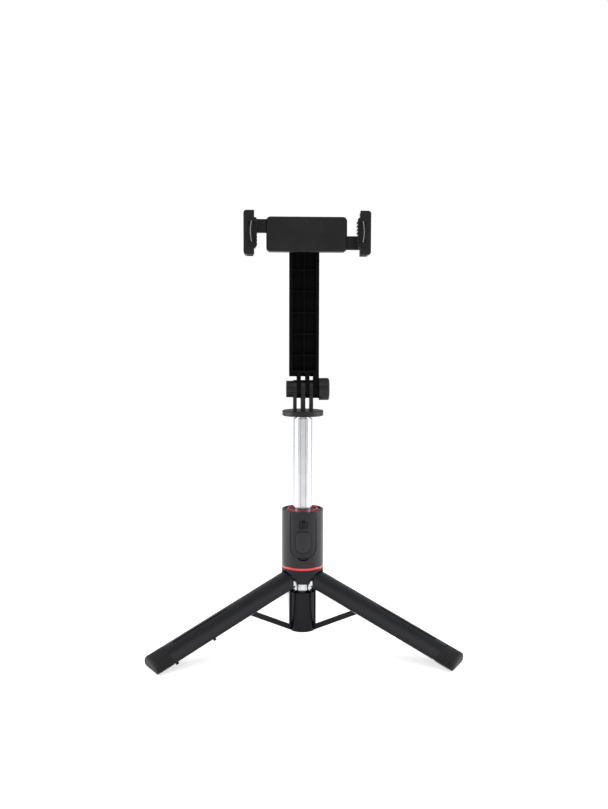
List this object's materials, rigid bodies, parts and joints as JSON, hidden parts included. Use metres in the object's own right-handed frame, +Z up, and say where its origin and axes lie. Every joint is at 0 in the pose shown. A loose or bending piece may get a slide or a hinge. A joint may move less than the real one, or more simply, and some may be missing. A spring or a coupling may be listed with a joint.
{
  "type": "selfie stick",
  "caption": "Extending selfie stick whose handle opens into a tripod, with a tilting neck, a swivelling sprung phone clamp and a pull-out remote.",
  "frame": {"origin": "the point on the floor under the mast's axis, midway between the three feet", "axes": "+Z up along the mast, +X to the right towards the tilt knob, -Y towards the person facing the phone and the remote"},
  "size_m": [0.2158, 0.1896, 0.3058],
  "materials": {
    "shell_grey": "satin",
    "accent_red": "gloss",
    "hub_black": "satin",
    "leg_black": "satin",
    "foot_rubber": "matt",
    "tube_chrome": "polished",
    "bush_white": "matt",
    "spreader_black": "gloss",
    "strut_black": "satin",
    "pin_steel": "bright",
    "remote_dark": "satin",
    "button_dark": "satin",
    "board_green": "gloss",
    "cell_steel": "bright",
    "switch_black": "gloss",
    "led_clear": "clear",
    "head_black": "satin",
    "washer_nylon": "matt",
    "clamp_grey": "satin",
    "pad_rubber": "matt"
  },
  "bodies": {
    "handle": {"body_shell": "shell_grey", "mast_sleeve": "bush_white", "red_collar": "accent_red", "accent_ring": "accent_red", "leg_hub": "hub_black", "leg_hinge_pins": "pin_steel", "hub_screws": "pin_steel"},
    "remote": {"remote_front_case": "remote_dark", "remote_back_case": "remote_dark", "remote_board": "board_green", "remote_battery": "cell_steel", "remote_switch": "switch_black", "remote_led": "led_clear", "battery_contact": "pin_steel"},
    "button": {"remote_button": "button_dark"},
    "mast": {"mast_tube_1": "tube_chrome", "spreader": "spreader_black", "spreader_screw": "pin_steel", "tube_plug": "bush_white"},
    "stage_2": {"mast_tube_2": "tube_chrome", "mast_bush_2": "bush_white"},
    "stage_3": {"mast_tube_3": "tube_chrome", "mast_bush_3": "bush_white"},
    "stage_4": {"mast_tube_4": "tube_chrome", "mast_bush_4": "bush_white"},
    "stage_5": {"mast_tube_5": "tube_chrome", "mast_bush_5": "bush_white", "mount_base": "head_black", "mount_base_pin": "pin_steel", "pivot_nut": "head_black"},
    "neck": {"neck_arm": "head_black", "swivel_cover": "head_black", "swivel_washer": "washer_nylon"},
    "thumb_screw": {"thumb_knob": "head_black", "pivot_bolt": "pin_steel"},
    "clamp": {"clamp_back_plate": "clamp_grey", "clamp_front_cover": "clamp_grey", "swivel_screw": "pin_steel", "swivel_nut": "pin_steel", "clamp_screws": "pin_steel", "left_jaw_spring": "pin_steel", "right_jaw_spring": "pin_steel"},
    "left_jaw": {"left_jaw_arm": "clamp_grey", "left_jaw_pad": "pad_rubber"},
    "right_jaw": {"right_jaw_arm": "clamp_grey", "right_jaw_pad": "pad_rubber"},
    "leg_left": {"leg_shell_left": "leg_black", "leg_foot_left": "foot_rubber", "strut_pin_left": "pin_steel"},
    "strut_left": {"strut_left": "strut_black"},
    "leg_right": {"leg_shell_right": "leg_black", "leg_foot_right": "foot_rubber", "strut_pin_right": "pin_steel"},
    "strut_right": {"strut_right": "strut_black"},
    "leg_rear": {"leg_shell_rear": "leg_black", "leg_foot_rear": "foot_rubber", "strut_pin_rear": "pin_steel"},
    "strut_rear": {"strut_rear": "strut_black"}
  },
  "joints": [
    {"name": "mast_slide", "type": "slide", "parent": "handle", "child": "mast", "axis": [0, 0, 1], "range_m": [-0.05556, 0]},
    {"name": "leg_left_fold", "type": "hinge", "parent": "handle", "child": "leg_left", "pos_m": [-0.00918, -0.0053, 0.048], "axis": [0.5, -0.866, 0], "range_deg": [0, 68.22]},
    {"name": "strut_left_swing", "type": "hinge", "parent": "leg_left", "child": "strut_left", "pos_m": [-0.0453, -0.02615, 0.0311], "axis": [0.5, -0.866, 0], "range_deg": [-129.56, 0]},
    {"name": "leg_right_fold", "type": "hinge", "parent": "handle", "child": "leg_right", "pos_m": [0.00918, -0.0053, 0.048], "axis": [0.5, 0.866, 0], "range_deg": [0, 68.22]},
    {"name": "strut_right_swing", "type": "hinge", "parent": "leg_right", "child": "strut_right", "pos_m": [0.0453, -0.02615, 0.0311], "axis": [0.5, 0.866, 0], "range_deg": [-129.56, 0]},
    {"name": "leg_rear_fold", "type": "hinge", "parent": "handle", "child": "leg_rear", "pos_m": [0, 0.0106, 0.048], "axis": [-1, 0, 0], "range_deg": [0, 68.22]},
    {"name": "strut_rear_swing", "type": "hinge", "parent": "leg_rear", "child": "strut_rear", "pos_m": [0, 0.05231, 0.0311], "axis": [-1, 0, 0], "range_deg": [-129.56, 0]},
    {"name": "stage_2_slide", "type": "slide", "parent": "mast", "child": "stage_2", "axis": [0, 0, 1], "range_m": [0, 0.1083]},
    {"name": "stage_3_slide", "type": "slide", "parent": "stage_2", "child": "stage_3", "axis": [0, 0, 1], "range_m": [0, 0.1083]},
    {"name": "stage_4_slide", "type": "slide", "parent": "stage_3", "child": "stage_4", "axis": [0, 0, 1], "range_m": [0, 0.1083]},
    {"name": "stage_5_slide", "type": "slide", "parent": "stage_4", "child": "stage_5", "axis": [0, 0, 1], "range_m": [0, 0.1083]},
    {"name": "neck_tilt", "type": "hinge", "parent": "stage_5", "child": "neck", "pos_m": [0, 0, 0.1829], "axis": [1, 0, 0], "range_deg": [-90, 90]},
    {"name": "thumb_screw_turn", "type": "hinge", "parent": "stage_5", "child": "thumb_screw", "pos_m": [0, 0, 0.1829], "axis": [1, 0, 0], "continuous": true},
    {"name": "clamp_swivel", "type": "hinge", "parent": "neck", "child": "clamp", "pos_m": [0.0019, 0, 0.2909], "axis": [0, 1, 0], "continuous": true},
    {"name": "left_jaw_slide", "type": "slide", "parent": "clamp", "child": "left_jaw", "axis": [-1, 0, 0], "range_m": [-0.008, 0.01], "stiffness_N_per_m": 250, "deforming": ["left_jaw_spring"]},
    {"name": "right_jaw_slide", "type": "slide", "parent": "clamp", "child": "right_jaw", "axis": [1, 0, 0], "range_m": [-0.008, 0.01], "stiffness_N_per_m": 250, "deforming": ["right_jaw_spring"]},
    {"name": "remote_slide", "type": "slide", "parent": "handle", "child": "remote", "axis": [0, -1, 0], "range_m": [0, 0.01]},
    {"name": "button_press", "type": "slide", "parent": "remote", "child": "button", "axis": [0, 1, 0], "range_m": [0, 0.0005], "stiffness_N_per_m": 400}
  ],
  "couplings": [
    {"joint": "leg_left_fold", "follows": "mast_slide", "rad_per_m": -21.422},
    {"joint": "strut_left_swing", "follows": "mast_slide", "rad_per_m": 40.69},
    {"joint": "leg_right_fold", "follows": "mast_slide", "rad_per_m": -21.422},
    {"joint": "strut_right_swing", "follows": "mast_slide", "rad_per_m": 40.69},
    {"joint": "leg_rear_fold", "follows": "mast_slide", "rad_per_m": -21.422},
    {"joint": "strut_rear_swing", "follows": "mast_slide", "rad_per_m": 40.69}
  ]
}
